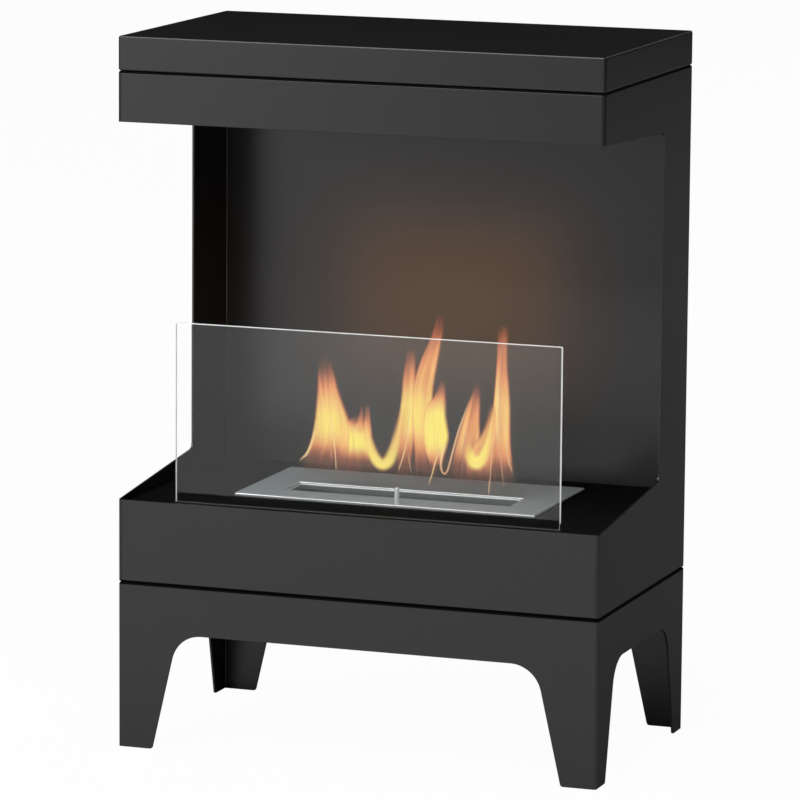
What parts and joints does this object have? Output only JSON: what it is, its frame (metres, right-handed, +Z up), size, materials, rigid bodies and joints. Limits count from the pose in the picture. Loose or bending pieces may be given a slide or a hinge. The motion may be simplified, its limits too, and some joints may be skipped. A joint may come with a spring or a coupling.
{
  "type": "bioethanol fireplace",
  "caption": "Free-standing bioethanol fireplace: folded steel casing on arched legs, open at the front and sides, with a glass pane and a drop-in burner with a sliding cover.",
  "frame": {"origin": "on the floor, under the middle of the casing", "axes": "+Z up, -Y out of the front with the glass, +X to the right seen from the front"},
  "size_m": [0.5, 0.285, 0.7106],
  "materials": {
    "painted_steel": "matt black powder coat",
    "burner_steel": "brushed stainless steel",
    "shield_steel": "mill-finish stainless steel",
    "zinc_steel": "zinc plated",
    "clear_glass": "clear tempered, ground edges",
    "seal_rubber": "matt black",
    "ceramic_fibre": "soft white fibre"
  },
  "bodies": {
    "casing": {"back_panel": "painted_steel", "base_front_panel": "painted_steel", "casing_bottom_plate": "painted_steel", "casing_top_plate": "painted_steel", "glass_channel": "painted_steel", "glass_strip": "seal_rubber", "heat_shield": "shield_steel", "hood_front_panel": "painted_steel", "leg_bolt_back_left": "zinc_steel", "leg_bolt_back_right": "zinc_steel", "leg_bolt_front_left": "zinc_steel", "leg_bolt_front_right": "zinc_steel", "leg_nut_back_left": "zinc_steel", "leg_nut_back_right": "zinc_steel", "leg_nut_front_left": "zinc_steel", "leg_nut_front_right": "zinc_steel", "leg_panel_back": "painted_steel", "leg_panel_front": "painted_steel", "leg_panel_left": "painted_steel", "leg_panel_right": "painted_steel", "leg_top_frame": "painted_steel", "lid": "painted_steel", "lid_bolt_back_left": "zinc_steel", "lid_bolt_back_right": "zinc_steel", "lid_bolt_front_left": "zinc_steel", "lid_bolt_front_right": "zinc_steel", "lid_nut_back_left": "zinc_steel", "lid_nut_back_right": "zinc_steel", "lid_nut_front_left": "zinc_steel", "lid_nut_front_right": "zinc_steel", "shield_bolt_back_left": "zinc_steel", "shield_bolt_back_right": "zinc_steel", "shield_bolt_front_left": "zinc_steel", "shield_bolt_front_right": "zinc_steel", "shield_nut_back_left": "zinc_steel", "shield_nut_back_right": "zinc_steel", "shield_nut_front_left": "zinc_steel", "shield_nut_front_right": "zinc_steel", "shield_spacer_back_left": "zinc_steel", "shield_spacer_back_right": "zinc_steel", "shield_spacer_front_left": "zinc_steel", "shield_spacer_front_right": "zinc_steel", "side_panel_left": "painted_steel", "side_panel_right": "painted_steel", "tray_floor": "painted_steel", "tray_rail_left": "painted_steel", "tray_rail_right": "painted_steel"},
    "glass": {"glass_pane": "clear_glass"},
    "burner": {"burner_tank": "burner_steel", "burner_deck": "burner_steel", "ceramic_wool": "ceramic_fibre", "wool_mesh": "burner_steel"},
    "cover": {"slide_cover": "burner_steel", "cover_peg": "burner_steel"}
  },
  "joints": [
    {"name": "glass_lift", "type": "slide", "parent": "casing", "child": "glass", "axis": [0, 0, 1], "range_m": [0, 0.05]},
    {"name": "burner_lift", "type": "slide", "parent": "casing", "child": "burner", "axis": [0, 0, 1], "range_m": [0, 0.07]},
    {"name": "cover_slide", "type": "slide", "parent": "burner", "child": "cover", "axis": [0, -1, 0], "range_m": [0, 0.046]}
  ]
}
